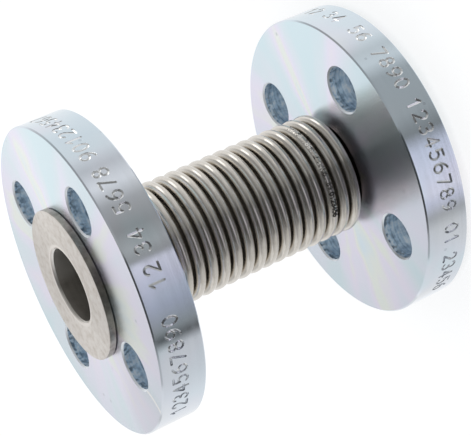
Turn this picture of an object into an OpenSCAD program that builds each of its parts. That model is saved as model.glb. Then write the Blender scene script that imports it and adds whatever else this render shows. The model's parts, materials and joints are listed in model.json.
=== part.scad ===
// Axial expansion joint for DN 15 pipe: a corrugated steel bellows between two
// short tube ends. Each tube end carries a flat collar that seals against the
// pipe's own flange, and a loose plate flange that turns freely behind the collar
// and pulls it up with four M12 bolts.
// The part stands on its lower collar, with its axis along Z.

/* [Overall] */
// Gap between a flange and the crest next to it, with the bellows relaxed
crest_gap = 2.5; // [1:0.1:8]
// Turn of the upper loose flange against the lower one, in degrees
upper_flange_turn = -5.5; // [-45:0.5:45]

/* [Loose flanges] */
// Outside diameter of a flange
flange_d = 95; // [90:1:120]
// Thickness of a flange
flange_t = 14; // [10:0.5:16]
// Diameter of the circle that the bolt holes lie on
bolt_circle_d = 65; // [62:1:72]
// Number of bolt holes
bolt_holes = 4; // [4:1:8]
// Diameter of a bolt hole
bolt_hole_d = 14; // [10:0.5:15]
// Play all round between the flange's bore and the widest weld that it passes over
bore_play = 0.7; // [0.3:0.1:1.5]
// Chamfer on the rim
rim_chamfer = 0.4; // [0.2:0.1:1]
// Chamfer on both ends of a bolt hole
hole_chamfer = 0.5; // [0.2:0.1:1]
// Clearance between the chamfer on the collar side and the weld bead in it
bead_clearance = 0.7; // [0.4:0.1:1.5]
// Chamfer on the bellows side of the middle hole
bore_chamfer = 0.5; // [0.2:0.1:1]
// Gap between a collar and the flange behind it
lap_gap = 0.3; // [0.2:0.1:1]

/* [Collars] */
// Outside diameter of a collar's sealing face
collar_d = 46; // [40:0.5:48]
// Thickness of a collar
collar_t = 2.1; // [1.5:0.1:4]
// Chamfer on a collar's outer edges
collar_chamfer = 0.2; // [0.1:0.05:0.5]

/* [Tube ends] */
// Inside diameter of the tube, the way for the flow
tube_bore_d = 22.4; // [16:0.2:23]
// Wall of the tube
tube_wall = 1.5; // [1:0.1:2]
// How far a tube stands out of its flange on the bellows side
tube_past = 0.8; // [0.2:0.1:2]
// Chamfer inside the tube's mouth
mouth_chamfer = 0.7; // [0.3:0.1:0.9]
// Clearance all round between a tube and what is welded on it
weld_fit = 0.05; // [0.02:0.01:0.1]
// Radius of the weld bead between a collar and its tube
collar_weld_r = 1.8; // [1:0.1:2]
// Radius of the weld bead at the end of a cuff
cuff_weld_r = 0.8; // [0.5:0.1:1]

/* [Bellows] */
// Diameter over the crests
crest_d = 37.6; // [34:0.2:44]
// Number of convolutions
convolutions = 17; // [8:1:20]
// Distance from one crest to the next
pitch = 4.15; // [3.8:0.05:5]
// Width of a crest, over its walls
crest_w = 3.3; // [2.4:0.1:3.4]
// Wall of the bellows
bellows_wall = 0.3; // [0.2:0.05:0.4]
// Length of a cuff's end that lies over its tube
cuff_overlap = 6; // [4:0.5:8]

/* [Hidden] */
// Facets round the axis, and round the small arcs of a section
around = 120;
arc = 48;
// How far a cutter runs past the face that it cuts
past = 1;

zinc = [0.78, 0.82, 0.87];
collar_steel = [0.75, 0.72, 0.67];
tube_steel = [0.52, 0.49, 0.45];
bellows_steel = [0.62, 0.59, 0.55];
bead_steel = [0.45, 0.43, 0.41];

tube_r = tube_bore_d / 2 + tube_wall;
seat_r = tube_r + weld_fit;
flange_bore_r = seat_r + cuff_weld_r + bore_play;
lap_chamfer = collar_weld_r + bead_clearance;
flange_seat_z = collar_t + lap_gap;
flange_end_z = flange_seat_z + flange_t;
tube_length = flange_end_z + tube_past;

// The section of the bellows wall has one arc over each crest and one in each root
crest_r = crest_w / 2;
root_r = (pitch - crest_w) / 2;
crest_centre = crest_d / 2 - crest_r;
root_centre = seat_r + bellows_wall + root_r;
bellows_start_z = flange_end_z + crest_gap - root_r;
bellows_length = convolutions * pitch;
cuff_end_z = tube_length - cuff_overlap;
cuff_length = bellows_start_z - cuff_end_z;

// Length between the two sealing faces
overall_length = 2 * bellows_start_z + bellows_length;

// Puts a lower piece at the upper end, face up
module at_upper_end() {
    translate([0, 0, overall_length]) mirror([0, 0, 1]) children();
}

// Ring plate with small chamfers, sealing face down
module collar_ring() {
    outer_r = collar_d / 2;
    rotate_extrude($fn = around)
        polygon([[seat_r, 0], [outer_r - collar_chamfer, 0], [outer_r, collar_chamfer],
                 [outer_r, collar_t - collar_chamfer], [outer_r - collar_chamfer, collar_t],
                 [seat_r, collar_t]]);
}

// Tube that passes through the collar and ends flush with its sealing face
module tube_end() {
    bore_r = tube_bore_d / 2;
    rotate_extrude($fn = around)
        polygon([[bore_r + mouth_chamfer, 0], [tube_r, 0], [tube_r, tube_length],
                 [bore_r, tube_length], [bore_r, mouth_chamfer]]);
}

// Ring of weld metal on the tube, a quarter round in section, with its flat side at height z
module weld_bead(bead_r, z, side) {
    rotate_extrude($fn = around)
        translate([seat_r, z])
            intersection() {
                circle(r = bead_r, $fn = arc);
                translate([0, side > 0 ? 0 : -bead_r]) square(bead_r);
            }
}

// Weld behind the collar, in the flange's chamfer
module collar_bead() {
    weld_bead(collar_weld_r, collar_t, 1);
}

// Weld that joins the cuff's end to the tube
module cuff_bead() {
    weld_bead(cuff_weld_r, cuff_end_z, -1);
}

// Round hole with a chamfer at both faces of a flange
module bolt_hole() {
    hole_r = bolt_hole_d / 2;
    mouth_r = hole_r + hole_chamfer;
    translate([0, 0, -past]) cylinder(r = hole_r, h = flange_t + 2 * past, $fn = around);
    translate([0, 0, -past]) cylinder(r1 = mouth_r + past, r2 = hole_r, h = hole_chamfer + past, $fn = around);
    translate([0, 0, flange_t - hole_chamfer])
        cylinder(r1 = hole_r, r2 = mouth_r + past, h = hole_chamfer + past, $fn = around);
}

// Plate flange, collar side down, with its first hole turned by first_hole degrees
module loose_flange(first_hole) {
    outer_r = flange_d / 2;
    difference() {
        rotate_extrude($fn = around)
            polygon([[flange_bore_r + lap_chamfer, 0], [outer_r - rim_chamfer, 0], [outer_r, rim_chamfer],
                     [outer_r, flange_t - rim_chamfer], [outer_r - rim_chamfer, flange_t],
                     [flange_bore_r + bore_chamfer, flange_t], [flange_bore_r, flange_t - bore_chamfer],
                     [flange_bore_r, lap_chamfer]]);
        for (k = [0 : bolt_holes - 1])
            rotate([0, 0, first_hole + k * 360 / bolt_holes])
                translate([bolt_circle_d / 2, 0, 0]) bolt_hole();
    }
}

// Half section of the convolutions, filled to the axis: inset is 0 for the outside
// of the wall, and the wall's thickness for its inside
module folds(inset) {
    difference() {
        union() {
            translate([0, bellows_start_z]) square([root_centre, bellows_length]);
            for (k = [0 : convolutions - 1])
                translate([0, bellows_start_z + (k + 0.5) * pitch]) {
                    translate([0, inset - crest_r]) square([crest_centre, 2 * (crest_r - inset)]);
                    translate([crest_centre, 0]) circle(r = crest_r - inset, $fn = arc);
                }
        }
        for (k = [0 : convolutions])
            translate([root_centre, bellows_start_z + k * pitch]) circle(r = root_r + inset, $fn = arc);
    }
}

// Plain end of the wall, over the tube, from height z upwards
module bellows_cuff(z) {
    translate([seat_r, z]) square([bellows_wall, cuff_length]);
}

module lower_collar() {
    color(collar_steel) collar_ring();
}

module lower_tube() {
    color(tube_steel) tube_end();
}

module lower_collar_weld() {
    color(bead_steel) collar_bead();
}

module lower_cuff_weld() {
    color(bead_steel) cuff_bead();
}

module lower_flange() {
    color(zinc) translate([0, 0, flange_seat_z]) loose_flange(180 / bolt_holes);
}

// Thin wall of the bellows with a cuff at each end
module bellows() {
    color(bellows_steel)
        rotate_extrude($fn = around) {
            difference() {
                folds(0);
                folds(bellows_wall);
            }
            bellows_cuff(cuff_end_z);
            bellows_cuff(bellows_start_z + bellows_length);
        }
}

module upper_cuff_weld() {
    color(bead_steel) at_upper_end() cuff_bead();
}

module upper_collar_weld() {
    color(bead_steel) at_upper_end() collar_bead();
}

module upper_tube() {
    color(tube_steel) at_upper_end() tube_end();
}

module upper_collar() {
    color(collar_steel) at_upper_end() collar_ring();
}

module upper_flange() {
    color(zinc) at_upper_end() translate([0, 0, flange_seat_z])
        loose_flange(180 / bolt_holes + upper_flange_turn);
}

lower_collar();
lower_tube();
lower_collar_weld();
lower_cuff_weld();
lower_flange();
bellows();
upper_cuff_weld();
upper_collar_weld();
upper_tube();
upper_collar();
upper_flange();
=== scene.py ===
import json
import math

import bmesh
import bpy
from mathutils import Matrix, Vector


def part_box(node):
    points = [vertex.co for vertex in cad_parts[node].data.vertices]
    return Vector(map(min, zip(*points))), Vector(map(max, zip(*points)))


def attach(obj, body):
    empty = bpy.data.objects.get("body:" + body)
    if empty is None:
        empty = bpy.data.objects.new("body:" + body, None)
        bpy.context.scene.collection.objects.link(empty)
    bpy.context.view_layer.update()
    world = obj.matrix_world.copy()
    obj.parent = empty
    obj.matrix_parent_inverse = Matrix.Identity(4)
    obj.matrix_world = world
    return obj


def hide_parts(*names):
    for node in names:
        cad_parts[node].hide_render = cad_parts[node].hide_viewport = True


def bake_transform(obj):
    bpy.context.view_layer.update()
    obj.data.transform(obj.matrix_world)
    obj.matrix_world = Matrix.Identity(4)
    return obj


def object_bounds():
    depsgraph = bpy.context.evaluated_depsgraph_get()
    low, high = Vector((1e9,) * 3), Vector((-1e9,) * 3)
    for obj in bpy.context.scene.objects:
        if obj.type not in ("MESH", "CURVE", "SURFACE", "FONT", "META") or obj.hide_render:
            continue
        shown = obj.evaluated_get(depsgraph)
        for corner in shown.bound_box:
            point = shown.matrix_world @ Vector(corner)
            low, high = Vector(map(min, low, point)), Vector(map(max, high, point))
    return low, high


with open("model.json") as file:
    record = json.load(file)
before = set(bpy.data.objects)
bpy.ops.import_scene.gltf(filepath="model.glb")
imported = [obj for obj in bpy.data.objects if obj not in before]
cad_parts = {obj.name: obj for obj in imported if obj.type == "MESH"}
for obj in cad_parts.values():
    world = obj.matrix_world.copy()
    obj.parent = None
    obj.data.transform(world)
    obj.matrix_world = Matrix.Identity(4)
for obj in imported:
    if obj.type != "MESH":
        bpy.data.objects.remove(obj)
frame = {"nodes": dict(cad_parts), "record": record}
cad_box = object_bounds()


# Camera
# The photograph looks at the joint from the side of its upper end, with the pipe's
# axis lying across the picture, so the camera is rolled over by more than a right angle.
mm = 0.001
scene = bpy.context.scene
joint_middle = Vector((0, 0, cad_box[1].z / 2))
view_azimuth = math.radians(-82.37)
view_elevation = math.radians(22.24)
view_roll = math.radians(-114.09)
view_distance = 501.2 * mm
view_aside = -1.6 * mm
view_above = 1.0 * mm
lens_mm = 129.37
sensor_mm = 36

toward_camera = Vector((math.sin(view_azimuth) * math.cos(view_elevation),
                        -math.cos(view_azimuth) * math.cos(view_elevation),
                        math.sin(view_elevation)))
level_right = Vector((math.cos(view_azimuth), math.sin(view_azimuth), 0))
level_up = toward_camera.cross(level_right)
picture_right = math.cos(view_roll) * level_right + math.sin(view_roll) * level_up
picture_up = -math.sin(view_roll) * level_right + math.cos(view_roll) * level_up
camera_place = (joint_middle + toward_camera * view_distance
                - picture_right * view_aside - picture_up * view_above)

camera_data = bpy.data.cameras.new("photo_camera")
camera_data.lens = lens_mm
camera_data.sensor_width = sensor_mm
camera_data.sensor_fit = "HORIZONTAL"
camera_data.clip_start = 0.01
camera_data.clip_end = 20
camera = bpy.data.objects.new("photo_camera", camera_data)
scene.collection.objects.link(camera)
turn = Matrix((picture_right, picture_up, toward_camera)).transposed()
camera.matrix_world = Matrix.Translation(camera_place) @ turn.to_4x4()
scene.camera = camera
scene.view_settings.view_transform = "Standard"


# Studio
# A pale sheet under the joint, pale walls all round and two soft lamps. Grey cards
# stand between the walls, and turned metal shows them as bands along its length.
def put(tree, kind, inputs=None, **options):
    """Adds a node to a tree, sets its options, and sets or links its sockets."""
    made = tree.nodes.new(kind)
    for option, value in options.items():
        setattr(made, option, value)
    for socket, value in (inputs or {}).items():
        if isinstance(value, bpy.types.NodeSocket):
            tree.links.new(value, made.inputs[socket])
        else:
            made.inputs[socket].default_value = value
    return made


def maths(tree, operation, first, second=0.0, third=0.0, clamp=False):
    """A sum on one number for each point."""
    return put(tree, "ShaderNodeMath", {0: first, 1: second, 2: third},
               operation=operation, use_clamp=clamp).outputs[0]


def fade(tree, value, none, full, ease="LINEAR"):
    """0 where a value is at none, rising to 1 where it is at full."""
    return put(tree, "ShaderNodeMapRange", {"Value": value, "From Min": none, "From Max": full},
               interpolation_type=ease).outputs[0]


def ramp(tree, factor, stops):
    """A colour ramp through stops of (place, grey or colour)."""
    made = put(tree, "ShaderNodeValToRGB", {0: factor})
    marks = made.color_ramp.elements
    while len(marks) < len(stops):
        marks.new(1.0)
    for mark, (place, tone) in zip(marks, stops):
        mark.position = place
        mark.color = (*tone, 1) if isinstance(tone, tuple) else (tone, tone, tone, 1)
    return made.outputs["Color"]


def mix(tree, share, first, second):
    """Mixes two colours; a share of 1 gives the second."""
    made = put(tree, "ShaderNodeMix", data_type="RGBA")
    sockets = (made.inputs["Factor"], made.inputs[6], made.inputs[7])
    for socket, value in zip(sockets, (share, first, second)):
        if isinstance(value, bpy.types.NodeSocket):
            tree.links.new(value, socket)
        elif isinstance(value, tuple):
            socket.default_value = (*value, 1)
        else:
            socket.default_value = value
    return made.outputs[2]


def seen_rays(tree):
    """1 for rays from the camera, off gloss and through glass; 0 for the light itself."""
    path = put(tree, "ShaderNodeLightPath").outputs
    glossy = maths(tree, "ADD", path["Is Camera Ray"], path["Is Glossy Ray"])
    return maths(tree, "ADD", glossy, path["Is Transmission Ray"], clamp=True)


# Cards in rows from the table up to the ceiling. A row has its tones by direction round
# the pipe's axis, in degrees, and takes over from the row below between two heights.
floor_row = ((0, 0.95), (60, 0.75), (110, 0.45), (135, 0.17), (186, 0.17), (212, 0.38),
             (250, 0.70), (300, 0.92), (360, 0.95))
table_row = ((0, 0.96), (25, 1.0), (46, 0.84), (84, 0.80), (112, 0.70), (123, 0.45),
             (134, (0.74, 0.74, 0.85)), (142, (0.95, 0.92, 1.0)), (158, (0.92, 0.88, 1.0)),
             (174, (0.82, 0.79, 0.92)), (187, 0.27), (202, 0.43), (235, 0.39), (248, 0.75),
             (260, 0.63), (271, 0.82), (284, 0.90), (360, 0.96))
low_row = ((0, 1.0), (66, 0.85), (92, 0.72), (118, 0.66), (126, 0.08), (133, 0.30),
           (150, (0.46, 0.45, 0.53)), (170, (0.66, 0.65, 0.74)), (181, (0.78, 0.77, 0.88)),
           (184.5, 0.33), (193, 0.45), (207, 0.30), (226, 0.41), (241, 0.85), (257, 0.58),
           (271, 0.80), (360, 1.0))
level_row = ((0, 0.95), (40, 0.92), (75, 0.72), (113, 0.52), (123, 0.22), (142, 0.08),
             (190, 0.09), (214, 0.34), (260, 0.62), (290, 1.0), (360, 0.95))
camera_row = ((0, 1.0), (5, 0.98), (12, 0.64), (44, 0.58), (96, 0.44), (122, 0.26),
              (146, 0.07), (190, 0.07), (216, 0.22), (246, 0.28), (300, 0.40), (328, 0.66),
              (342, 0.92), (360, 1.0))
ceiling_row = ((0, 0.60), (84, 0.56), (104, 0.06), (190, 0.07), (200, 0.40), (256, 0.36),
               (310, 0.36), (360, 0.60))
upper_rows = (((-32, -30.5), table_row), ((-26, -25), floor_row), ((-22, -20.5), low_row),
              ((-14, -6), level_row), ((9, 19), camera_row), ((36, 52), ceiling_row))
wall_white = (1, 1, 1)
wall_light = (0.86, 0.88, 0.90)

world = bpy.data.worlds.new("studio")
scene.world = world
world.use_nodes = True
walls = world.node_tree
walls.nodes.clear()
part = put(walls, "ShaderNodeSeparateXYZ",
           {0: put(walls, "ShaderNodeTexCoord").outputs["Generated"]}).outputs
turns = maths(walls, "DIVIDE", maths(walls, "ARCTAN2", part["Y"], part["X"]), math.tau)
turns = maths(walls, "FRACT", turns)
height = maths(walls, "ARCSINE", part["Z"])
cards = ramp(walls, turns, [(angle / 360, tone) for angle, tone in floor_row])
for (low, high), tones in upper_rows:
    row = ramp(walls, turns, [(angle / 360, tone) for angle, tone in tones])
    above = fade(walls, height, math.radians(low), math.radians(high), "SMOOTHSTEP")
    cards = mix(walls, above, cards, row)
glossy = put(walls, "ShaderNodeLightPath").outputs["Is Glossy Ray"]
shown = mix(walls, glossy, wall_white, cards)
lit = mix(walls, seen_rays(walls), wall_light, shown)
background = put(walls, "ShaderNodeBackground", {"Color": lit, "Strength": 1.0})
put(walls, "ShaderNodeOutputWorld", {"Surface": background.outputs[0]})

# The sheet glows a little to the eye, so it looks white and still takes the joint's shadow
sheet_radius = 3.0
sheet_steps = 96
sheet_grain = 60.0
sheet_seen = (0.42, 0.42, 0.42)
sheet_glow = 0.68
bm = bmesh.new()
bmesh.ops.create_circle(bm, cap_ends=True, segments=sheet_steps, radius=sheet_radius)
sheet_mesh = bpy.data.meshes.new("pale_sheet")
bm.to_mesh(sheet_mesh)
bm.free()
sheet = bpy.data.objects.new("pale_sheet", sheet_mesh)
scene.collection.objects.link(sheet)
sheet.visible_glossy = False
paper = bpy.data.materials.new("pale_paper")
paper.use_nodes = True
tree = paper.node_tree
tree.nodes.clear()
seen = seen_rays(tree)
grain = put(tree, "ShaderNodeTexNoise",
            {"Vector": put(tree, "ShaderNodeTexCoord").outputs["Object"], "Scale": sheet_grain})
tone = ramp(tree, grain.outputs["Fac"], ((0.3, 0.80), (0.7, 0.82)))
surface = put(tree, "ShaderNodeBsdfPrincipled",
              {"Base Color": mix(tree, seen, tone, sheet_seen),
               "Roughness": 0.9,
               "Specular IOR Level": 0.0,
               "Emission Color": (1, 1, 1, 1),
               "Emission Strength": maths(tree, "MULTIPLY", seen, sheet_glow)})
put(tree, "ShaderNodeOutputMaterial", {"Surface": surface.outputs[0]})
sheet_mesh.materials.append(paper)


def soft_lamp(name, azimuth, elevation, reach, size, watts):
    """A square soft lamp that points at the middle of the joint."""
    data = bpy.data.lights.new(name, "AREA")
    data.size = size
    data.energy = watts
    lamp = bpy.data.objects.new(name, data)
    a, e = math.radians(azimuth), math.radians(elevation)
    toward_lamp = Vector((math.cos(a) * math.cos(e), math.sin(a) * math.cos(e), math.sin(e)))
    lamp.location = joint_middle + reach * toward_lamp
    lamp.rotation_euler = (joint_middle - lamp.location).to_track_quat("-Z", "Y").to_euler()
    scene.collection.objects.link(lamp)


soft_lamp("long_lamp", azimuth=288, elevation=2, reach=1.0, size=0.42, watts=0.5)
soft_lamp("low_lamp", azimuth=70, elevation=24, reach=1.0, size=0.5, watts=0.25)


# Collars
# The flat ring on each tube end is the only face that meets the pipe's own flange.
# It is turned from stainless plate, faced to a matt grain, and welded on at the back.
def arc_points(cx, cy, rx, ry, start, stop, count):
    """Points on an arc of an ellipse, from one angle to another in degrees."""
    angles = [math.radians(start + (stop - start) * k / count) for k in range(count + 1)]
    return [(cx + rx * math.cos(a), cy + ry * math.sin(a)) for a in angles]


def turned_body(name, outline, steps):
    """A closed section of (radius, height) points, turned round the pipe's axis."""
    bm = bmesh.new()
    rings = []
    for k in range(steps):
        a = math.tau * k / steps
        rings.append([bm.verts.new((r * math.cos(a), r * math.sin(a), z)) for r, z in outline])
    for k in range(steps):
        here, there = rings[k], rings[(k + 1) % steps]
        for j in range(len(outline)):
            i = (j + 1) % len(outline)
            bm.faces.new((here[j], there[j], there[i], here[i]))
    bmesh.ops.recalc_face_normals(bm, faces=bm.faces)
    mesh = bpy.data.meshes.new(name)
    bm.to_mesh(mesh)
    bm.free()
    made = bpy.data.objects.new(name, mesh)
    scene.collection.objects.link(made)
    return made


def round_shading(mesh, axes):
    """Gives corners the true normals of turned walls; axes has each finish's centres."""
    mesh.shade_smooth()
    normals = [Vector((0, 0, 1))] * len(mesh.loops)
    for face in mesh.polygons:
        for corner in face.loop_indices:
            normals[corner] = face.normal.copy()
        if face.material_index not in axes:
            continue
        at = face.center
        x, y = min(axes[face.material_index], key=lambda c: math.hypot(at.x - c[0], at.y - c[1]))
        out = Vector((at.x - x, at.y - y, 0)).normalized()
        outward = face.normal.dot(out)
        for corner in face.loop_indices:
            place = mesh.vertices[mesh.loops[corner].vertex_index].co
            out = Vector((place.x - x, place.y - y, 0)).normalized()
            normals[corner] = (out * outward + Vector((0, 0, face.normal.z))).normalized()
    mesh.normals_split_custom_set(normals)


def new_group(name, inputs, outputs):
    """An empty shader node group of named numbers, with None for an input that is a place."""
    group = bpy.data.node_groups.new(name, "ShaderNodeTree")
    for label, value in inputs.items():
        kind = "NodeSocketVector" if value is None else "NodeSocketFloat"
        socket = group.interface.new_socket(label, in_out="INPUT", socket_type=kind)
        if value is not None:
            socket.default_value = value
    for label in outputs:
        group.interface.new_socket(label, in_out="OUTPUT", socket_type="NodeSocketFloat")
    return group, put(group, "NodeGroupInput").outputs


def off_axis(tree, place):
    """The level part of a place: how it lies off the pipe's axis."""
    return put(tree, "ShaderNodeVectorMath", {0: place, 1: (1, 1, 0)},
               operation="MULTIPLY").outputs[0]


def lathe_marks():
    """Shader group: fine and broad rings that a turning tool leaves, on faces and rims alike."""
    group, given = new_group("lathe_marks", {"Vector": None, "Rings per mm": 3.0, "Wander": 0.2},
                             ("Marks", "Bands"))
    bands_per_mm = 0.35
    radius = put(group, "ShaderNodeVectorMath", {0: off_axis(group, given["Vector"])},
                 operation="LENGTH").outputs["Value"]
    height = put(group, "ShaderNodeSeparateXYZ", {0: given["Vector"]}).outputs["Z"]
    along_mm = maths(group, "MULTIPLY", maths(group, "ADD", radius, height), 1 / mm)
    cloud = put(group, "ShaderNodeTexNoise",
                {"Vector": given["Vector"], "Scale": 60.0, "Detail": 1.0}).outputs["Fac"]
    wander = maths(group, "MULTIPLY", cloud, given["Wander"])
    path = maths(group, "MULTIPLY", maths(group, "ADD", along_mm, wander), given["Rings per mm"])
    fine = put(group, "ShaderNodeTexNoise",
               {"W": path, "Scale": 1.0, "Detail": 3.0, "Roughness": 0.7},
               noise_dimensions="1D").outputs["Fac"]
    broad = put(group, "ShaderNodeTexNoise",
                {"W": maths(group, "MULTIPLY", along_mm, bands_per_mm), "Scale": 1.0, "Detail": 2.0},
                noise_dimensions="1D").outputs["Fac"]
    put(group, "NodeGroupOutput", {"Marks": fine, "Bands": broad})
    return group


def handling():
    """Shader group: clouds, blotches and small knocks from storage and handling."""
    group, given = new_group("handling", {"Vector": None, "Knocks per mm": 0.3},
                             ("Clouds", "Blotches", "Knocks"))
    knock_reach = 0.13
    spared = 0.9
    clouds = put(group, "ShaderNodeTexNoise",
                 {"Vector": given["Vector"], "Scale": 32.0, "Detail": 2.0,
                  "Distortion": 0.4}).outputs["Fac"]
    blotches = put(group, "ShaderNodeTexNoise",
                   {"Vector": given["Vector"], "Scale": 420.0, "Detail": 4.0,
                    "Roughness": 0.6}).outputs["Fac"]
    per_metre = maths(group, "MULTIPLY", given["Knocks per mm"], 1 / mm)
    spots = put(group, "ShaderNodeTexVoronoi",
                {"Vector": given["Vector"], "Scale": per_metre}).outputs
    near = maths(group, "LESS_THAN", spots["Distance"], knock_reach)
    lot = put(group, "ShaderNodeSeparateColor", {0: spots["Color"]}).outputs["Red"]
    knocks = maths(group, "MULTIPLY", near, maths(group, "GREATER_THAN", lot, spared))
    put(group, "NodeGroupOutput", {"Clouds": clouds, "Blotches": blotches, "Knocks": knocks})
    return group


lathe_marks_group = lathe_marks()
handling_group = handling()


def metal(name, roughness, anisotropy=0.0, metallic=1.0, rings_per_mm=3.0, wander=0.2,
          knocks_per_mm=0.3):
    """A metal's material, tree, shader, coordinates, tool marks and wear, without its colour."""
    made = bpy.data.materials.new(name)
    made.use_nodes = True
    tree = made.node_tree
    tree.nodes.clear()
    place = put(tree, "ShaderNodeTexCoord").outputs["Object"]
    marks = put(tree, "ShaderNodeGroup",
                {"Vector": place, "Rings per mm": rings_per_mm, "Wander": wander},
                node_tree=lathe_marks_group)
    wear = put(tree, "ShaderNodeGroup", {"Vector": place, "Knocks per mm": knocks_per_mm},
               node_tree=handling_group)
    shader = put(tree, "ShaderNodeBsdfPrincipled",
                 {"Metallic": metallic, "Roughness": roughness,
                  "Anisotropic": anisotropy, "Anisotropic Rotation": 0.25})
    if anisotropy:
        turned = put(tree, "ShaderNodeTangent", direction_type="RADIAL", axis="Z")
        tree.links.new(turned.outputs[0], shader.inputs["Tangent"])
    put(tree, "ShaderNodeOutputMaterial", {"Surface": shader.outputs[0]})
    return made, tree, shader, place, marks.outputs, wear.outputs


def bump(tree, shader, height, depth, strength=1.0):
    """Raises the surface by a height from 0 to 1, depth metres deep."""
    made = put(tree, "ShaderNodeBump", {"Height": height, "Distance": depth, "Strength": strength})
    tree.links.new(made.outputs[0], shader.inputs["Normal"])


faced_steel = (0.81, 0.765, 0.72)
collar_steel, tree, shader, _, marks, wear = metal(
    "collar_steel", roughness=0.42, anisotropy=0.5, rings_per_mm=2.2, knocks_per_mm=0.5)
beige = ramp(tree, wear["Blotches"],
             ((0.30, (0.68, 0.63, 0.57)), (0.50, faced_steel), (0.72, (0.88, 0.85, 0.81))))
grooved = mix(tree, 0.15, beige, (0.35, 0.32, 0.29))
tree.links.new(mix(tree, marks["Marks"], grooved, beige), shader.inputs["Base Color"])
matt = ramp(tree, wear["Clouds"], ((0.3, 0.38), (0.7, 0.5)))
tree.links.new(matt, shader.inputs["Roughness"])
bump(tree, shader, marks["Marks"], depth=0.004 * mm)

collar_wall_steel, tree, shader, _, marks, wear = metal(
    "collar_wall_steel", roughness=0.34, anisotropy=0.5, knocks_per_mm=0.9)
brown = ramp(tree, wear["Blotches"], ((0.34, (0.30, 0.275, 0.24)), (0.62, (0.50, 0.475, 0.43))))
nicked = mix(tree, wear["Knocks"], brown, (0.10, 0.09, 0.08))
tree.links.new(nicked, shader.inputs["Base Color"])
bump(tree, shader, maths(tree, "SUBTRACT", marks["Marks"], wear["Knocks"]), depth=0.03 * mm)

collar_edge = 0.2 * mm
collar_edge_steps = 3
collar_steps = 240
collar_wall_tilt = 0.6
for end in ("lower", "upper"):
    low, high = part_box(end + "_collar")
    outer = min(high.x, high.y)
    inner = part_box(end + "_tube")[1].x
    outline = [(inner, low.z)]
    for edge_z, start in ((low.z + collar_edge, -90), (high.z - collar_edge, 0)):
        outline += arc_points(outer - collar_edge, edge_z, collar_edge, collar_edge,
                              start, start + 90, collar_edge_steps)
    outline.append((inner, high.z))
    collar = turned_body(end + "_collar_ring", outline, collar_steps)
    collar.data.materials.append(collar_steel)
    collar.data.materials.append(collar_wall_steel)
    round_shading(collar.data, {0: [(0, 0)]})
    for face in collar.data.polygons:
        face.material_index = int(abs(face.normal.z) < collar_wall_tilt)
    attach(collar, end + "_end")
    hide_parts(end + "_collar")


# Tube ends
# A short length of drawn stainless tube carries each collar and the end of the bellows.
# Its bore is the way for the flow, left dark as drawn, and its mouth is faced with the collar.
def off_middle(tree, height):
    """How far a height lies from the middle of the joint, up or down."""
    return maths(tree, "ABSOLUTE", maths(tree, "SUBTRACT", height, joint_middle.z))


tube_steel, tree, shader, place, marks, wear = metal(
    "tube_steel", roughness=0.36, anisotropy=0.4, rings_per_mm=1.4)
drawn = ramp(tree, wear["Blotches"], ((0.3, (0.40, 0.375, 0.34)), (0.7, (0.56, 0.53, 0.49))))
banded = mix(tree, marks["Bands"], drawn, (0.66, 0.64, 0.60))
# One side of the bore gets a painted highlight, a pale sheen where light falls into it
lit_bore_side = math.radians(318)
bore_light_edge = 0.72
bore_light_core = 0.93
bore_light_most = 0.85
outward = put(tree, "ShaderNodeVectorMath", {0: off_axis(tree, place)},
              operation="NORMALIZE").outputs[0]
toward_side = put(tree, "ShaderNodeVectorMath",
                  {0: outward, 1: (math.cos(lit_bore_side), math.sin(lit_bore_side), 0)},
                  operation="DOT_PRODUCT").outputs["Value"]
bore_light = fade(tree, toward_side, bore_light_edge, bore_light_core, "SMOOTHSTEP")
bore_light = maths(tree, "MULTIPLY", bore_light, bore_light_most)
bore_lit = mix(tree, bore_light, banded, (0.98, 0.96, 0.93))
mouth_depth = 0.3 * mm
height = put(tree, "ShaderNodeSeparateXYZ", {0: place}).outputs["Z"]
at_mouth = maths(tree, "GREATER_THAN", off_middle(tree, height), joint_middle.z - mouth_depth)
tree.links.new(mix(tree, at_mouth, bore_lit, faced_steel), shader.inputs["Base Color"])
bump(tree, shader, marks["Marks"], depth=0.006 * mm)
for end in ("lower", "upper"):
    tube = frame["nodes"][end + "_tube"]
    tube.data.materials.clear()
    tube.data.materials.append(tube_steel)


# Weld beads
# One bead behind each collar and one at each cuff's end, laid in a single pass round
# the tube, so the metal stands in small overlapping ripples and is a little tinted.
weld_metal, tree, shader, place, _, wear = metal("weld_metal", roughness=0.34)
part = put(tree, "ShaderNodeSeparateXYZ", {0: place}).outputs
angle = maths(tree, "ARCTAN2", part["Y"], part["X"])
ripple = put(tree, "ShaderNodeTexWave",
             {"Vector": put(tree, "ShaderNodeCombineXYZ", {"X": angle}).outputs[0],
              "Scale": 6.0, "Distortion": 1.5}, wave_profile="SAW").outputs["Fac"]
straw = ramp(tree, wear["Blotches"], ((0.3, (0.30, 0.25, 0.19)), (0.7, (0.42, 0.40, 0.38))))
tree.links.new(straw, shader.inputs["Base Color"])
bump(tree, shader, ripple, depth=0.15 * mm, strength=0.7)
for name in ("lower_collar_weld", "lower_cuff_weld", "upper_collar_weld", "upper_cuff_weld"):
    bead = frame["nodes"][name]
    bead.data.materials.clear()
    bead.data.materials.append(weld_metal)


# Bellows
# A thin stainless tube, rolled and pressed into round folds, with a plain cuff at each
# end that is welded down on its tube. The satin skin keeps the fine rings of the rolls.
bellows_low, bellows_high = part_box("bellows")
cuff_play = 0.05 * mm
cuff_seat_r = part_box("upper_tube")[1].x + cuff_play
fold_sizes = {"Folds": 17, "Pitch": 4.15 * mm, "Crest Width": 3.3 * mm, "Wall": 0.3 * mm,
              "Crest Radius": min(bellows_high.x, bellows_high.y), "Seat Radius": cuff_seat_r,
              "Low End": bellows_low.z, "High End": bellows_high.z,
              "Arc Points": 5, "Steps Round": 128}
folds_length = fold_sizes["Folds"] * fold_sizes["Pitch"]
fold_start = (bellows_low.z + bellows_high.z - folds_length) / 2

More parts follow.
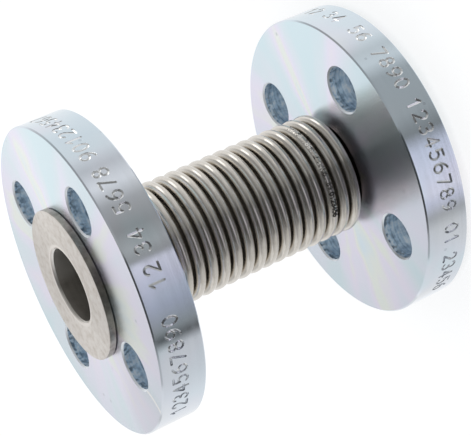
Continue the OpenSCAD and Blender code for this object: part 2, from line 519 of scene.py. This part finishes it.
bellows_steel, tree, shader, _, marks, wear = metal(
    "bellows_steel", roughness=0.20, anisotropy=0.3, metallic=0.98, rings_per_mm=4.0, wander=0.4)
satin = ramp(tree, wear["Blotches"], ((0.3, (0.71, 0.67, 0.61)), (0.7, (0.77, 0.74, 0.69))))
rolled = mix(tree, marks["Marks"], mix(tree, 0.22, satin, (0.36, 0.34, 0.31)), satin)
# Painted shade darkens the cuffs and the ends of the outer folds to a near-black brown, by each
# point's height at rest
cuff_shade_reach = 1.0 * mm
rest_height = put(tree, "ShaderNodeAttribute", attribute_name="rest_height").outputs["Fac"]
cuff_shade_from = joint_middle.z - fold_start - cuff_shade_reach
cuff_shade = fade(tree, off_middle(tree, rest_height), cuff_shade_from, cuff_shade_from + cuff_shade_reach)
cuff_shaded = mix(tree, cuff_shade, rolled, (0.15, 0.12, 0.10))
tree.links.new(cuff_shaded, shader.inputs["Base Color"])
gloss = ramp(tree, wear["Clouds"], ((0.3, 0.17), (0.7, 0.24)))
tree.links.new(gloss, shader.inputs["Roughness"])
bump(tree, shader, marks["Marks"], depth=0.006 * mm)


def fold_tree(finish):
    """Geometry nodes: the wavy section of the wall as one closed line, turned round the axis."""
    tree = bpy.data.node_groups.new("bellows_folds", "GeometryNodeTree")
    sockets = {}
    for label, value in fold_sizes.items():
        kind = "NodeSocketInt" if isinstance(value, int) else "NodeSocketFloat"
        socket = tree.interface.new_socket(label, in_out="INPUT", socket_type=kind)
        sockets[label] = socket.identifier
    tree.interface.new_socket("Geometry", in_out="OUTPUT", socket_type="NodeSocketGeometry")
    given = put(tree, "NodeGroupInput").outputs

    def switch(test, no, yes):
        return put(tree, "GeometryNodeSwitch", {"Switch": test, "False": no, "True": yes},
                   input_type="FLOAT").outputs[0]

    def equal(first, second):
        return put(tree, "FunctionNodeCompare", {"A": first, "B": second, "Epsilon": 0.1},
                   data_type="FLOAT", operation="EQUAL").outputs[0]

    # Corners of the outer skin run up the wall, and those of the inner skin run back down.
    # A fold has four, 0 and 3 in its roots and 1 and 2 on its crest, and each cuff's end has one
    half = maths(tree, "MULTIPLY_ADD", given["Folds"], 4, 2)
    total = maths(tree, "MULTIPLY", half, 2)
    corners = put(tree, "GeometryNodeMeshLine", {"Count": total}, mode="OFFSET").outputs[0]
    index = put(tree, "GeometryNodeInputIndex").outputs[0]
    inside = maths(tree, "GREATER_THAN", index, maths(tree, "SUBTRACT", half, 0.5))
    back = maths(tree, "SUBTRACT", maths(tree, "SUBTRACT", total, 1), index)
    step = switch(inside, index, back)
    inset = maths(tree, "MULTIPLY", inside, given["Wall"])
    counted = maths(tree, "SUBTRACT", step, 1)
    fold = maths(tree, "FLOOR", maths(tree, "DIVIDE", counted, 4))
    corner = maths(tree, "FLOORED_MODULO", counted, 4)
    late = maths(tree, "GREATER_THAN", corner, 1.5)
    off_crest = maths(tree, "ABSOLUTE", maths(tree, "SUBTRACT", corner, 1.5))
    on_crest = maths(tree, "LESS_THAN", off_crest, 1)

    gap = maths(tree, "SUBTRACT", given["Pitch"], given["Crest Width"])
    root_arc = maths(tree, "MULTIPLY_ADD", gap, 0.5, inset)
    crest_arc = maths(tree, "SUBTRACT", maths(tree, "MULTIPLY", given["Crest Width"], 0.5), inset)
    skin_radius = maths(tree, "ADD", given["Seat Radius"], given["Wall"])
    root_radius = maths(tree, "SUBTRACT", skin_radius, inset)
    crest_radius = maths(tree, "SUBTRACT", given["Crest Radius"], inset)
    ends = maths(tree, "ADD", given["Low End"], given["High End"])
    wave = maths(tree, "MULTIPLY", given["Folds"], given["Pitch"])
    start = maths(tree, "MULTIPLY", maths(tree, "SUBTRACT", ends, wave), 0.5)
    wall = switch(late, root_arc, maths(tree, "SUBTRACT", given["Pitch"], root_arc))
    height = maths(tree, "ADD", maths(tree, "MULTIPLY_ADD", fold, given["Pitch"], start), wall)
    at_low = equal(step, 0)
    at_high = equal(step, maths(tree, "SUBTRACT", half, 1))
    height = switch(at_high, switch(at_low, height, given["Low End"]), given["High End"])
    radius = switch(on_crest, root_radius, crest_radius)
    place = put(tree, "ShaderNodeCombineXYZ", {"X": radius, "Z": height}).outputs[0]
    line = put(tree, "GeometryNodeSetPosition", {"Geometry": corners, "Position": place}).outputs[0]
    line = put(tree, "GeometryNodeMeshToCurve", {"Mesh": line}).outputs[0]
    line = put(tree, "GeometryNodeSetSplineCyclic", {"Geometry": line, "Cyclic": True}).outputs[0]
    rounding = switch(on_crest, root_arc, crest_arc)
    rounding = switch(maths(tree, "ADD", at_low, at_high), rounding, 0.0)
    line = put(tree, "GeometryNodeFilletCurve",
               {"Curve": line, "Count": given["Arc Points"], "Radius": rounding,
                "Limit Radius": True}, mode="POLY").outputs[0]
    section = put(tree, "GeometryNodeCurveToMesh", {"Curve": line}).outputs[0]

    # A grid takes the section's points in one direction and turns in the other
    sizes = put(tree, "GeometryNodeAttributeDomainSize", {"Geometry": section}, component="MESH")
    points = sizes.outputs["Point Count"]
    rows = maths(tree, "ADD", points, 1)
    columns = maths(tree, "ADD", given["Steps Round"], 1)
    grid = put(tree, "GeometryNodeMeshGrid", {"Vertices X": columns, "Vertices Y": rows})
    column = maths(tree, "FLOOR", maths(tree, "DIVIDE", maths(tree, "ADD", index, 0.5), rows))
    row = maths(tree, "SUBTRACT", index, maths(tree, "MULTIPLY", column, rows))
    row = maths(tree, "FLOORED_MODULO", maths(tree, "ROUND", row), points)
    position = put(tree, "GeometryNodeInputPosition").outputs[0]
    point = put(tree, "GeometryNodeSampleIndex",
                {"Geometry": section, "Value": position, "Index": row},
                data_type="FLOAT_VECTOR", domain="POINT").outputs[0]
    part = put(tree, "ShaderNodeSeparateXYZ", {0: point}).outputs
    angle = maths(tree, "DIVIDE", maths(tree, "MULTIPLY", column, math.tau), given["Steps Round"])
    around = put(tree, "ShaderNodeCombineXYZ",
                 {"X": maths(tree, "MULTIPLY", part["X"], maths(tree, "COSINE", angle)),
                  "Y": maths(tree, "MULTIPLY", part["X"], maths(tree, "SINE", angle)),
                  "Z": part["Z"]}).outputs[0]
    skin = put(tree, "GeometryNodeSetPosition",
               {"Geometry": grid.outputs["Mesh"], "Position": around}).outputs[0]
    skin = put(tree, "GeometryNodeMergeByDistance",
               {"Geometry": skin, "Distance": 0.002 * mm}).outputs[0]
    skin = put(tree, "GeometryNodeSetShadeSmooth",
               {"Geometry": skin, "Shade Smooth": True}).outputs[0]
    skin = put(tree, "GeometryNodeRealizeInstances", {"Geometry": skin}).outputs[0]
    skin = put(tree, "GeometryNodeSetMaterial", {"Geometry": skin, "Material": finish}).outputs[0]
    put(tree, "NodeGroupOutput", {0: skin})
    return tree, sockets


folds, fold_sockets = fold_tree(bellows_steel)
wall = bpy.data.objects.new("bellows_wall", bpy.data.meshes.new("bellows_wall"))
scene.collection.objects.link(wall)
maker = wall.modifiers.new("folds", "NODES")
maker.node_group = folds
for label, value in fold_sizes.items():
    maker[fold_sockets[label]] = value
made = bpy.data.meshes.new_from_object(wall.evaluated_get(bpy.context.evaluated_depsgraph_get()))
wall.modifiers.clear()
bm = bmesh.new()
bm.from_mesh(made)
bmesh.ops.recalc_face_normals(bm, faces=bm.faces)
bm.to_mesh(made)
bm.free()
# The painted shade stays on the same metal when the bellows is stretched or pressed
kept_height = made.attributes.new("rest_height", "FLOAT", "POINT")
kept_height.data.foreach_set("value", [vertex.co.z for vertex in made.vertices])
wall.data = made
wall.data.name = "bellows_wall"
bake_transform(wall)
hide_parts("bellows")


# Flanges
# Each loose flange is turned from forged steel plate, drilled for four bolts, stamped
# on its rim with a steel punch and plated with bright zinc.
# A digit's punch strokes in a box 0.6 wide and 1 high, and the middle of that box
digit_middle_x = 0.3
digit_middle_y = 0.5
digit_strokes = {
    0: (arc_points(0.3, 0.5, 0.27, 0.5, 0, 360, 20),),
    1: ([(0.10, 0.76), (0.34, 1.0)], [(0.34, 1.0), (0.34, 0.0)]),
    2: (arc_points(0.3, 0.72, 0.26, 0.28, 165, -35, 10) + [(0.04, 0.0)],
        [(0.04, 0.0), (0.57, 0.0)]),
    3: (arc_points(0.28, 0.75, 0.25, 0.25, 150, -90, 10),
        arc_points(0.28, 0.26, 0.28, 0.26, 90, -150, 11)),
    4: ([(0.42, 1.0), (0.42, 0.0)], [(0.42, 1.0), (0.03, 0.3)], [(0.03, 0.3), (0.6, 0.3)]),
    5: ([(0.52, 1.0), (0.11, 1.0)], [(0.11, 1.0), (0.08, 0.56)],
        arc_points(0.27, 0.33, 0.29, 0.33, 130, -140, 12)),
    6: (arc_points(0.3, 0.3, 0.27, 0.3, 0, 360, 14), arc_points(0.53, 0.36, 0.5, 0.64, 100, 178, 7)),
    7: ([(0.03, 1.0), (0.57, 1.0)], [(0.57, 1.0), (0.2, 0.0)]),
    8: (arc_points(0.3, 0.76, 0.22, 0.24, 0, 360, 14),
        arc_points(0.3, 0.26, 0.27, 0.26, 0, 360, 14)),
    9: (arc_points(0.3, 0.7, 0.27, 0.3, 0, 360, 14), arc_points(0.07, 0.64, 0.5, 0.64, -80, -2, 7)),
}
most_strokes = max(len(strokes) for strokes in digit_strokes.values())


def stroke_tube(bm, spine, ups, radius, sides=8):
    """A round-ended tube along a spine of points in space, or a closed ring where its ends meet."""
    touching = 0.0001 * mm
    closed = (spine[0] - spine[-1]).length < touching
    if closed:
        spine, ups = spine[:-1], ups[:-1]
    count = len(spine)
    rings = []
    for k in range(count):
        ahead = spine[(k + 1) % count] if closed or k < count - 1 else spine[k]
        behind = spine[k - 1] if closed or k > 0 else spine[k]
        forward = (ahead - behind).normalized()
        side = forward.cross(ups[k]).normalized()
        up = side.cross(forward)
        rings.append((spine[k], forward, side, up, radius))
    shoulder = radius * math.sin(math.radians(45))
    tip_reach = shoulder * 0.6
    if not closed:
        first, last = rings[0], rings[-1]
        rings.insert(0, (first[0] - first[1] * shoulder, *first[1:4], shoulder))
        rings.append((last[0] + last[1] * shoulder, *last[1:4], shoulder))
    verts = []
    for centre, forward, side, up, size in rings:
        verts.append([])
        for j in range(sides):
            a = math.tau * j / sides
            verts[-1].append(bm.verts.new(centre + size * (math.cos(a) * side + math.sin(a) * up)))
    spans = list(zip(verts, verts[1:]))
    if closed:
        spans.append((verts[-1], verts[0]))
    for here, there in spans:
        for j in range(sides):
            i = (j + 1) % sides
            bm.faces.new((here[j], here[i], there[i], there[j]))
    if not closed:
        first, last = rings[0], rings[-1]
        first_tip = bm.verts.new(first[0] - first[1] * tip_reach)
        for j in range(sides):
            bm.faces.new((verts[0][(j + 1) % sides], verts[0][j], first_tip))
        last_tip = bm.verts.new(last[0] + last[1] * tip_reach)
        for j in range(sides):
            bm.faces.new((verts[-1][j], verts[-1][(j + 1) % sides], last_tip))


def bearing(tree, place):
    """The direction from the pipe's axis to a place, in radians from -X."""
    part = put(tree, "ShaderNodeSeparateXYZ", {0: place}).outputs
    back_x = maths(tree, "MULTIPLY", part["X"], -1.0)
    back_y = maths(tree, "MULTIPLY", part["Y"], -1.0)
    return maths(tree, "ARCTAN2", back_y, back_x)


def zinc(name, roughness, anisotropy=0.0, metallic=1.0):
    """Bright zinc plate, with the marks and the wear of these flanges."""
    return metal(name, roughness, anisotropy, metallic, rings_per_mm=2.6, knocks_per_mm=0.22)


zinc_groove = (0.38, 0.42, 0.48)
zinc_knocked = (0.42, 0.46, 0.52)
knock_dulling = 0.35
knock_depth = 2.0
zinc_turned, tree, shader, _, marks, wear = zinc("zinc_turned", roughness=0.12, anisotropy=0.3)
skin = ramp(tree, wear["Clouds"],
            ((0.30, (0.68, 0.79, 0.87)), (0.44, (0.72, 0.82, 0.89)), (0.54, (0.76, 0.81, 0.89)),
             (0.64, (0.78, 0.82, 0.87)), (0.74, (0.73, 0.83, 0.88))))
ringed = mix(tree, marks["Marks"], mix(tree, 0.06, skin, zinc_groove), skin)
dulled = maths(tree, "MULTIPLY", wear["Knocks"], knock_dulling)
tree.links.new(mix(tree, dulled, ringed, zinc_knocked), shader.inputs["Base Color"])
gloss = ramp(tree, marks["Bands"], ((0.3, 0.10), (0.7, 0.15)))
tree.links.new(gloss, shader.inputs["Roughness"])
dents = maths(tree, "MULTIPLY", wear["Knocks"], knock_depth)
bump(tree, shader, maths(tree, "SUBTRACT", marks["Marks"], dents), depth=0.004 * mm)

# The faces' passivated film shows blue, violet, pink or straw by its depth, which falls
# outwards and grows towards the side that hung lowest in the bath
film_scale = 1.9
film_clouded = 0.35
film_loss_outward = 0.0028 / mm
film_at_axis = 0.09
film_hung = 0.035
zinc_faced, tree, shader, place, marks, wear = zinc("zinc_faced", roughness=0.27, anisotropy=0.7)
flat = off_axis(tree, place)
outward = put(tree, "ShaderNodeVectorMath", {0: flat}, operation="NORMALIZE").outputs[0]
wandering = put(tree, "ShaderNodeVectorMath", {0: outward, 1: place}, operation="ADD").outputs[0]
film_depth = put(tree, "ShaderNodeTexNoise",
                 {"Vector": wandering, "Scale": film_scale, "Detail": 2.0}).outputs["Fac"]
film_depth = maths(tree, "MULTIPLY_ADD", wear["Clouds"], film_clouded,
                   maths(tree, "MULTIPLY", film_depth, 1 - film_clouded))
from_axis = put(tree, "ShaderNodeVectorMath", {0: flat}, operation="LENGTH").outputs["Value"]
film_loss = maths(tree, "MULTIPLY_ADD", from_axis, film_loss_outward, -film_at_axis)
film_depth = maths(tree, "SUBTRACT", film_depth, film_loss)
hung = put(tree, "ShaderNodeSeparateXYZ", {0: outward}).outputs["Y"]
film_depth = maths(tree, "MULTIPLY_ADD", hung, film_hung, film_depth)
film = ramp(tree, film_depth,
            ((0.36, (0.72, 0.87, 0.93)), (0.44, (0.78, 0.87, 0.94)), (0.49, (0.83, 0.86, 0.97)),
             (0.54, (0.88, 0.85, 0.98)), (0.58, (0.88, 0.92, 0.87)), (0.64, (0.77, 0.88, 0.95))))
ringed = mix(tree, marks["Marks"], mix(tree, 0.10, film, zinc_groove), film)
# Beside one hole of the upper flange a painted highlight lies in a pale curved line, and a painted
# darker lilac reflection lies inside its curve
glint_centre = Vector((-16.5 * mm, 41.0 * mm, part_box("upper_flange")[1].z))
glint_r = 11.0 * mm
glint_edge = 0.8 * mm
glint_core = 0.2 * mm
glint_starts_x = -18 * mm
glint_whole_x = -21 * mm
dim_patch_edge_r = 16.5 * mm
dim_patch_core_r = 9.9 * mm
dim_patch_depth = 0.35
beside = put(tree, "ShaderNodeVectorMath", {0: place, 1: glint_centre},
             operation="DISTANCE").outputs["Value"]
off_run = maths(tree, "ABSOLUTE", maths(tree, "SUBTRACT", beside, glint_r))
x = put(tree, "ShaderNodeSeparateXYZ", {0: place}).outputs["X"]
glint = maths(tree, "MULTIPLY", fade(tree, off_run, glint_edge, glint_core),
            fade(tree, x, glint_starts_x, glint_whole_x))
dim_patch = maths(tree, "MULTIPLY", fade(tree, beside, dim_patch_edge_r, dim_patch_core_r), dim_patch_depth)
film_and_glint = mix(tree, dim_patch, ringed, (0.66, 0.65, 0.74))
film_and_glint = mix(tree, glint, film_and_glint, (0.98, 0.98, 0.97))
dulled = maths(tree, "MULTIPLY", wear["Knocks"], knock_dulling)
tree.links.new(mix(tree, dulled, film_and_glint, zinc_knocked), shader.inputs["Base Color"])
bump(tree, shader, marks["Marks"], depth=0.004 * mm)

# The plate is thin and blue inside the drilled holes, and the drill chattered at each mouth
lower_flange_low, lower_flange_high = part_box("lower_flange")
flange_t = lower_flange_high.z - lower_flange_low.z
hole_edge = 0.5 * mm
chatter_reach = 3.5 * mm
chatter_most = 0.8
feeds_per_mm = 0.9
feed_share = 0.4
zinc_drilled, tree, shader, place, _, wear = zinc("zinc_drilled", roughness=0.34, metallic=0.75)
height = put(tree, "ShaderNodeSeparateXYZ", {0: place}).outputs["Z"]
feed = put(tree, "ShaderNodeTexNoise",
           {"W": maths(tree, "MULTIPLY", height, feeds_per_mm / mm), "Scale": 1.0, "Detail": 3.0},
           noise_dimensions="1D").outputs["Fac"]
feed_mark = maths(tree, "MULTIPLY_ADD", wear["Blotches"], 1 - feed_share,
                  maths(tree, "MULTIPLY", feed, feed_share))
blue = ramp(tree, feed_mark,
            ((0.38, (0.30, 0.40, 0.50)), (0.50, (0.62, 0.76, 0.88)), (0.60, (0.92, 0.97, 1.0))))
hole_middle = joint_middle.z - lower_flange_low.z - flange_t / 2
into_hole = maths(tree, "SUBTRACT", off_middle(tree, height), hole_middle)
into_hole = maths(tree, "ABSOLUTE", into_hole)
chatter = put(tree, "ShaderNodeTexNoise",
              {"Vector": place, "Scale": 700.0, "Detail": 1.0}).outputs["Fac"]
chips = ramp(tree, chatter,
             ((0.38, (1.0, 1.0, 1.0)), (0.50, (0.60, 0.74, 0.86)), (0.60, (0.08, 0.10, 0.12))))
mouth = fade(tree, into_hole, flange_t / 2 - chatter_reach, flange_t / 2 - hole_edge)
blue = mix(tree, maths(tree, "MULTIPLY", mouth, chatter_most), blue, chips)
countersunk = maths(tree, "GREATER_THAN", into_hole, flange_t / 2 - hole_edge)
tree.links.new(mix(tree, countersunk, blue, (0.86, 0.90, 0.94)), shader.inputs["Base Color"])
bump(tree, shader, feed_mark, depth=0.16 * mm)

# The stamped grooves get painted shade, darkest on one side of the rim and fading to bright away
# from it
shaded_side = -0.95
shade_fading = 0.28
zinc_stamped, tree, shader, place, _, wear = zinc("zinc_stamped", roughness=0.17)
from_shaded_side = maths(tree, "ABSOLUTE", maths(tree, "SUBTRACT", bearing(tree, place), shaded_side))
groove_shade = maths(tree, "MULTIPLY_ADD", from_shaded_side, shade_fading, wear["Blotches"])
shadowed = ramp(tree, groove_shade,
                ((0.44, (0.42, 0.46, 0.52)), (0.62, (0.84, 0.88, 0.93)), (0.78, (0.97, 0.99, 1.0))))
tree.links.new(shadowed, shader.inputs["Base Color"])
bump(tree, shader, wear["Blotches"], depth=0.05 * mm)

bolts = next(m for m in frame["record"]["mounts"] if m["name"] == "lower_flange_bolts")
bolt_hole_r = bolts["dims"]["hole_r_mm"] * mm
bolt_circle_r = math.hypot(bolts["dims"]["spacing_x_mm"], bolts["dims"]["spacing_y_mm"]) / 2 * mm
# The upper flange stands turned a little on its tube
first_hole = {"lower": 45.0, "upper": 39.5}
hole_steps = 128
rim_edge = 0.4 * mm
bore_edge = 0.5 * mm
lap_edge = 2.5 * mm
bore_play = 1.5 * mm
flange_bore_r = cuff_seat_r + bore_play
flange_steps = 360
flat_face_tilt = 0.99
punch_height = 4.4 * mm
punch_r = 0.42 * mm
punch_lift = 0.09 * mm
# Groups of stamped figures: where each starts and how many it has, in degrees round
# the rim, as read from left to right with the outer face up
stamp_groups = {"upper": ((121.0, 10), (177.0, 2), (189.0, 2), (203.5, 4), (226.0, 9), (280.0, 6)),
                "lower": ((262.0, 2), (248.5, 2), (233.0, 2), (219.0, 4), (196.5, 9), (149.5, 2),
                          (136.0, 5))}
stamp_pitch = 4.75
stamp_off_centre = 1.2 * mm
flange_finishes = (zinc_turned, zinc_drilled, zinc_stamped, zinc_faced)
turned, drilled, stamped, faced = range(len(flange_finishes))


def cut(body, cutter_mesh):
    """Takes a cutter out of a body and keeps the result as a plain mesh."""
    cutter = bpy.data.objects.new("cutter", cutter_mesh)
    scene.collection.objects.link(cutter)
    tool = body.modifiers.new("cut", "BOOLEAN")
    tool.operation = "DIFFERENCE"
    tool.solver = "MANIFOLD"
    tool.object = cutter
    depsgraph = bpy.context.evaluated_depsgraph_get()
    result = bpy.data.meshes.new_from_object(body.evaluated_get(depsgraph))
    body.modifiers.clear()
    body.data = result
    bpy.data.objects.remove(cutter)


def as_cutter(bm, name, finish_left):
    """Turns a cutter's faces outwards and marks them with the finish they leave behind."""
    bmesh.ops.recalc_face_normals(bm, faces=bm.faces)
    for face in bm.faces:
        face.material_index = finish_left
    mesh = bpy.data.meshes.new(name)
    bm.to_mesh(mesh)
    bm.free()
    for finish in flange_finishes:
        mesh.materials.append(finish)
    return mesh


def bolt_drill(low_z, high_z, angle):
    """One drill with its two countersinks, at its place on the bolt circle."""
    centre = Vector((bolt_circle_r * math.cos(angle), bolt_circle_r * math.sin(angle), 0))
    past = 1 * mm
    wide_r = bolt_hole_r + hole_edge + past
    outline = [(wide_r, low_z - past), (bolt_hole_r, low_z + hole_edge),
               (bolt_hole_r, high_z - hole_edge), (wide_r, high_z + past)]
    bm = bmesh.new()
    rings = []
    for r, z in outline:
        rings.append([])
        for k in range(hole_steps):
            a = math.tau * k / hole_steps
            rings[-1].append(bm.verts.new(centre + Vector((r * math.cos(a), r * math.sin(a), z))))
    for here, there in zip(rings, rings[1:]):
        for k in range(hole_steps):
            i = (k + 1) % hole_steps
            bm.faces.new((here[k], here[i], there[i], there[k]))
    bm.faces.new(rings[0])
    bm.faces.new(rings[-1])
    return as_cutter(bm, "drill", drilled)


def rim_punch(groups, rim_r, middle, direction, stroke):
    """One stroke of every figure on a rim, as strokes of a figure overlap and are cut in turn."""
    bm = bmesh.new()
    figure = 0
    for start, count in groups:
        for k in range(count):
            figure += 1
            strokes = digit_strokes[figure % 10]
            if stroke >= len(strokes):
                continue
            figure_angle = math.radians(start + direction * stamp_pitch * k)
            spine, ups = [], []
            for x, y in strokes[stroke]:
                a = figure_angle + direction * (x - digit_middle_x) * punch_height / rim_r
                out = Vector((math.cos(a), math.sin(a), 0))
                z = middle + direction * (y - digit_middle_y) * punch_height
                spine.append(out * (rim_r + punch_lift) + Vector((0, 0, z)))
                ups.append(out)
            stroke_tube(bm, spine, ups, punch_r)
    return as_cutter(bm, "punch", stamped)


for end, direction in (("upper", 1), ("lower", -1)):
    low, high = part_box(end + "_flange")
    outer = min(high.x, high.y, -low.x, -low.y)
    thick = high.z - low.z
    # Depths are measured from the lap face, which bears on the collar
    section = [(flange_bore_r + lap_edge, 0), (outer - rim_edge, 0), (outer, rim_edge),
               (outer, thick - rim_edge), (outer - rim_edge, thick),
               (flange_bore_r + bore_edge, thick), (flange_bore_r, thick - bore_edge),
               (flange_bore_r, lap_edge)]
    lap_z = high.z if direction > 0 else low.z
    outline = [(r, lap_z - direction * depth) for r, depth in section]
    flange = turned_body(end + "_loose_flange", outline, flange_steps)
    for finish in flange_finishes:
        flange.data.materials.append(finish)
    hole_angles = [math.radians(first_hole[end] + 90 * k) for k in range(4)]
    for angle in hole_angles:
        cut(flange, bolt_drill(low.z, high.z, angle))
    middle = (low.z + high.z) / 2 + direction * stamp_off_centre
    for stroke in range(most_strokes):
        cut(flange, rim_punch(stamp_groups[end], outer, middle, direction, stroke))
    holes = [(bolt_circle_r * math.cos(a), bolt_circle_r * math.sin(a)) for a in hole_angles]
    round_shading(flange.data, {turned: [(0, 0)], drilled: holes})
    for face in flange.data.polygons:
        if face.material_index == turned and abs(face.normal.z) > flat_face_tilt:
            face.material_index = faced
    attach(flange, end + "_flange")
    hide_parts(end + "_flange")


# Etched figures
# A row of small figures is etched round the third fold from the lower end. It stands
# a hair proud of the crest, dark where the etching bit, with a painted highlight towards one side.
highlight_turn = 0.16
etched_highlit_steel, tree, shader, place, _, wear = metal("etched_highlit_steel", roughness=0.4, metallic=0.2)
# Painted highlight: the figures turn bright towards one side of the fold and stay dark towards the
# other
highlight_side = maths(tree, "MULTIPLY_ADD", bearing(tree, place), highlight_turn, wear["Blotches"])
etched_and_highlit = ramp(tree, highlight_side, ((0.54, (0.02, 0.018, 0.015)), (0.62, (0.8, 0.77, 0.72))))
tree.links.new(etched_and_highlit, shader.inputs["Base Color"])
etched_fold = 2
etched_height = 1.5 * mm
etched_sink = 0.05 * mm
fine_r = 0.16 * mm
bold_r = 0.25 * mm
etched_pitch = 3.7
# Where each group starts in degrees, how many figures it has, and the radius of its strokes
etched_groups = ((248.0, 6, fine_r), (222.0, 6, fine_r), (197.0, 4, fine_r), (180.0, 3, fine_r),
                 (167.0, 7, bold_r))
crest_r = fold_sizes["Crest Radius"]
crest_arc_r = fold_sizes["Crest Width"] / 2
crest_arc_centre = crest_r - crest_arc_r
etched_z = fold_start + (etched_fold + 0.5) * fold_sizes["Pitch"]
bm = bmesh.new()
figure = 0
for start, count, stroke_r in etched_groups:
    for k in range(count):
        figure += 1
        for stroke in digit_strokes[figure % 10]:
            spine, ups = [], []
            for x, y in stroke:
                a = math.radians(start - etched_pitch * k)
                a -= (x - digit_middle_x) * etched_height / crest_r
                lean = -(y - digit_middle_y) * etched_height / crest_arc_r
                out = Vector((math.cos(a), math.sin(a), 0))
                up = out * math.cos(lean) + Vector((0, 0, math.sin(lean)))
                centre = out * crest_arc_centre + Vector((0, 0, etched_z))
                spine.append(centre + up * (crest_arc_r - etched_sink))
                ups.append(up)
            stroke_tube(bm, spine, ups, stroke_r, sides=6)
bmesh.ops.recalc_face_normals(bm, faces=bm.faces)
figures_mesh = bpy.data.meshes.new("etched_figures")
bm.to_mesh(figures_mesh)
bm.free()
figures_mesh.materials.append(etched_highlit_steel)
figures_mesh.shade_smooth()
figures = bpy.data.objects.new("etched_figures", figures_mesh)
scene.collection.objects.link(figures)
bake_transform(figures)
